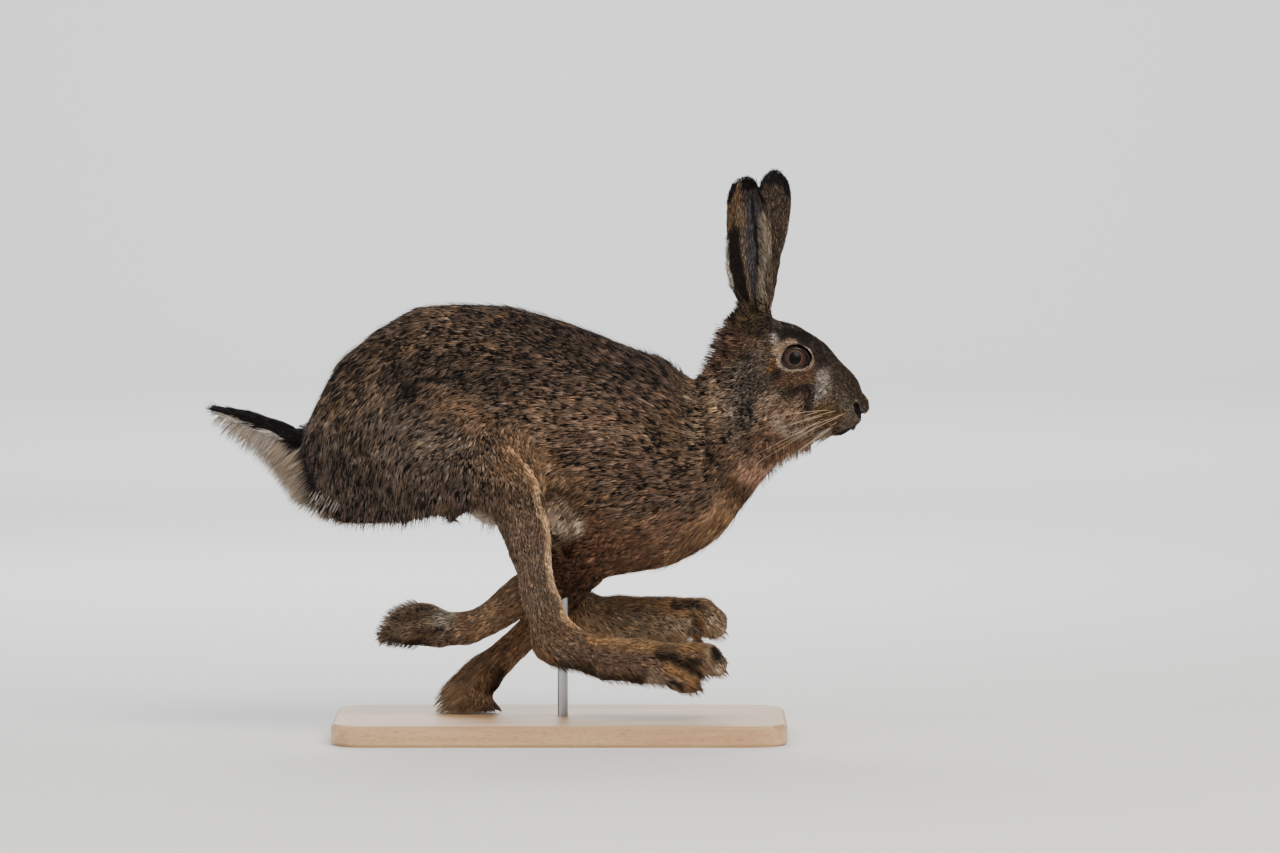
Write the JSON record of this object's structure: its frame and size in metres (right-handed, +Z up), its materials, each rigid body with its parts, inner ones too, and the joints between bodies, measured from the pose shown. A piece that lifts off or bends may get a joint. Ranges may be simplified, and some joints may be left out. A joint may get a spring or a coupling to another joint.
{
  "type": "brown hare",
  "caption": "Life-size still model of a running brown hare with upright ears, propped over a flat wooden base by its forepaw and a short rod.",
  "frame": {"origin": "middle of the underside of the display base, on the surface that it stands on", "axes": "+X the way the hare runs, from tail to nose; +Y the hare's left side; +Z up"},
  "size_m": [0.5105, 0.184, 0.4302],
  "materials": {
    "coat": "grizzled brown coat, black and ochre banded hairs",
    "ear_fur": "short ear fur, black at the tip and pale at the front edge",
    "foot_fur": "short tawny fur, dark claws",
    "tail_fur": "long white fur, black along the top",
    "eye": "polished glass eye, amber-brown iris and dark pupil",
    "base_wood": "pale beech, satin lacquer",
    "rod_steel": "brushed stainless steel"
  },
  "bodies": {
    "root": {"torso": "coat", "neck": "coat", "head": "coat", "ear_right": "ear_fur", "ear_left": "ear_fur", "eye_right": "eye", "eye_left": "eye", "tail": "tail_fur", "hindleg_right_thigh": "coat", "hindleg_right_shank": "coat", "hindleg_right_foot": "foot_fur", "hindleg_left_thigh": "coat", "hindleg_left_shank": "coat", "hindleg_left_foot": "foot_fur", "foreleg_right_forearm": "coat", "foreleg_right_paw": "foot_fur", "foreleg_left_forearm": "coat", "foreleg_left_paw": "foot_fur", "stand_base": "base_wood", "stand_rod": "rod_steel"}
  },
  "joints": []
}
